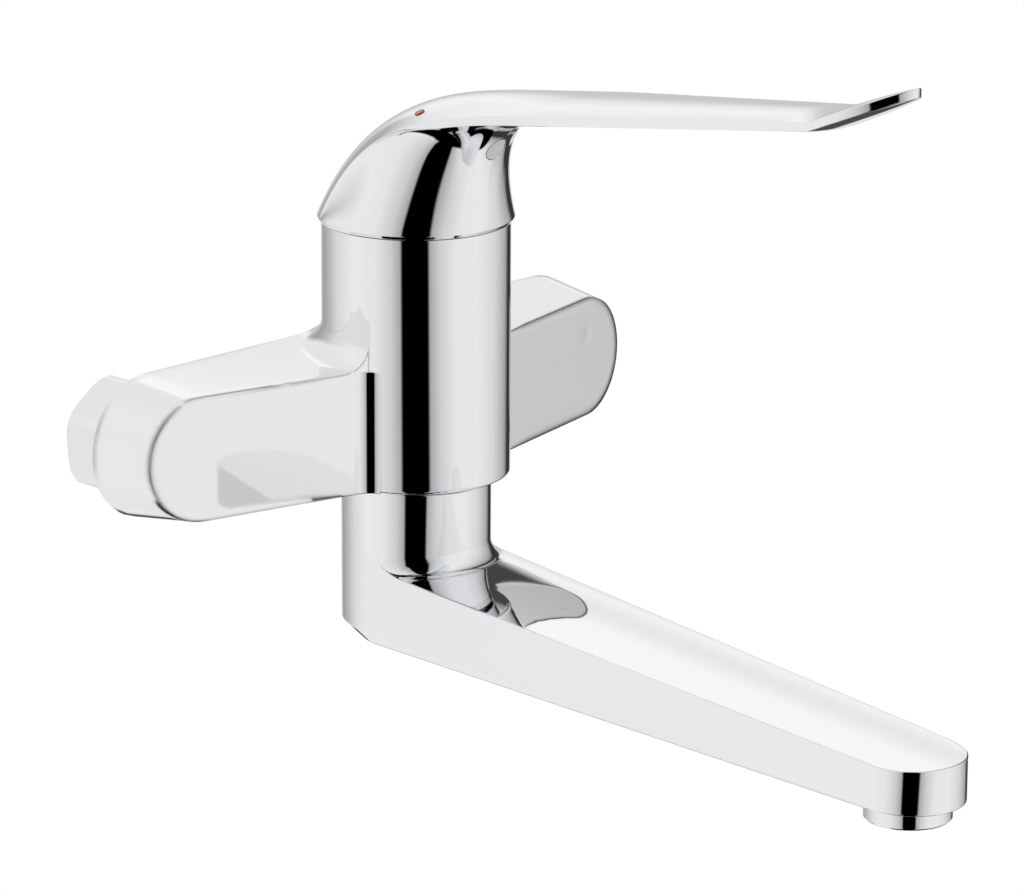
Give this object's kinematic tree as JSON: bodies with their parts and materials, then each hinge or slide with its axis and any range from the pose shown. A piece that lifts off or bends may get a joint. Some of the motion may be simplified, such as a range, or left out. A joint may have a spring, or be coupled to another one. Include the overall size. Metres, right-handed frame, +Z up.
{
  "type": "wall-mounted basin mixer",
  "caption": "Wall-mounted single-lever basin mixer: upright column with swept inlet arms, long flat lever on top and a long swivelling spout below.",
  "frame": {"origin": "midway between the two inlets' axes, in the plane of the union nuts' open ends", "axes": "+X along the wall to the viewer's right, +Y into the wall, +Z up; the spout and lever point along -Y"},
  "size_m": [0.1898, 0.2344, 0.1901],
  "materials": {
    "chrome_casting": "chrome-plated, polished",
    "chrome_lever": "polished",
    "chrome_trim": "polished",
    "bare_brass": "turned",
    "steel": "brushed",
    "ceramic": "lapped",
    "cartridge_plastic": "moulded",
    "grey_plastic": "moulded",
    "seal_rubber": "moulded",
    "red_enamel": "gloss",
    "blue_enamel": "gloss"
  },
  "bodies": {
    "fixed": {"mixer_body": "chrome_casting", "inlet_tail_left": "bare_brass", "inlet_tail_right": "bare_brass", "inlet_gasket_left": "seal_rubber", "inlet_gasket_right": "seal_rubber", "inlet_filter_left": "steel", "inlet_filter_right": "steel", "cartridge_base": "cartridge_plastic", "port_seals": "seal_rubber", "fixed_disc": "ceramic", "cartridge_housing": "cartridge_plastic", "temperature_stop_ring": "grey_plastic", "clamp_ring": "bare_brass", "guard_ring": "chrome_trim", "spout_lock_screw": "steel"},
    "nut_left": {"union_nut_left": "chrome_trim"},
    "nut_right": {"union_nut_right": "chrome_trim"},
    "turner": {"cartridge_rotor": "cartridge_plastic", "stem_pin": "steel"},
    "disc": {"moving_disc": "ceramic", "disc_carrier": "cartridge_plastic"},
    "handle": {"lever": "chrome_lever", "lever_stem": "bare_brass", "lever_screw": "steel", "screw_cap": "grey_plastic", "red_mark": "red_enamel", "blue_mark": "blue_enamel"},
    "swivel": {"spout": "chrome_casting", "spout_orings": "seal_rubber", "spout_glide_ring": "grey_plastic", "aerator_housing": "chrome_trim", "aerator_insert": "grey_plastic", "aerator_seal": "seal_rubber"}
  },
  "joints": [
    {"name": "nut_left_turn", "type": "hinge", "parent": "fixed", "child": "nut_left", "pos_m": [-0.075, 0, 0], "axis": [0, 1, 0], "continuous": true},
    {"name": "nut_right_turn", "type": "hinge", "parent": "fixed", "child": "nut_right", "pos_m": [0.075, 0, 0], "axis": [0, 1, 0], "continuous": true},
    {"name": "temperature_turn", "type": "hinge", "parent": "fixed", "child": "turner", "pos_m": [0, -0.0426, 0.042], "axis": [0, 0, 1], "range_deg": [-50, 50]},
    {"name": "flow_lift", "type": "hinge", "parent": "turner", "child": "handle", "pos_m": [0, -0.0426, 0.042], "axis": [-1, 0, 0], "range_deg": [0, 20]},
    {"name": "disc_slide", "type": "slide", "parent": "turner", "child": "disc", "axis": [0, -1, 0], "range_m": [0, 0.0035]},
    {"name": "spout_swing", "type": "hinge", "parent": "fixed", "child": "swivel", "pos_m": [0, -0.0426, -0.02], "axis": [0, 0, 1], "range_deg": [-70, 70]}
  ],
  "couplings": [
    {"joint": "disc_slide", "follows": "flow_lift", "m_per_rad": 0.00985}
  ]
}
